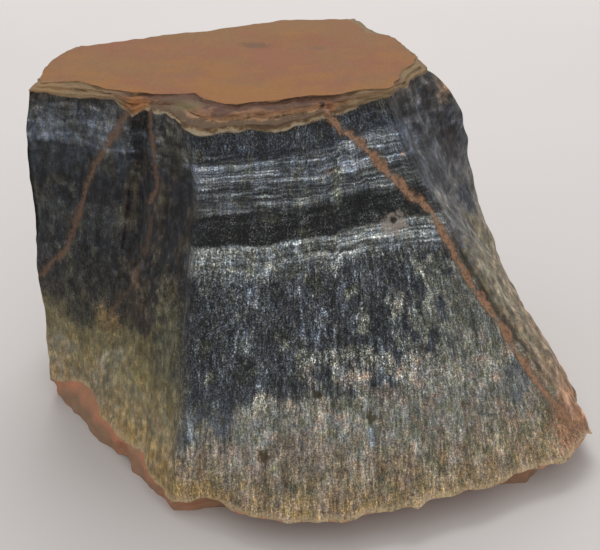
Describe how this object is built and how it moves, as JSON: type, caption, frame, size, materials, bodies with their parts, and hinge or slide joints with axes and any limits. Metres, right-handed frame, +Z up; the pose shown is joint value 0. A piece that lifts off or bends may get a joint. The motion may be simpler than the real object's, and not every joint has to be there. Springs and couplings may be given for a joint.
{
  "type": "rough tiger's eye chunk",
  "caption": "Rough chunk of blue tiger's eye: upright banded fibres between two skins of brown ironstone, with a flat top, a flat underside and broken sides.",
  "frame": {"origin": "on the surface that the stone rests on, under the middle of its bounding box", "axes": "+Z up along the fibres; -Y towards the broad front face; +X towards the pointed spur of the foot"},
  "size_m": [0.082, 0.0754, 0.05],
  "materials": {
    "fibrous_quartz": "rough broken fibres with a silky sheen, dark blue and olive in bands, brown on the top and on the underside"
  },
  "bodies": {
    "root": {"tigers_eye_chunk": "fibrous_quartz"}
  },
  "joints": []
}
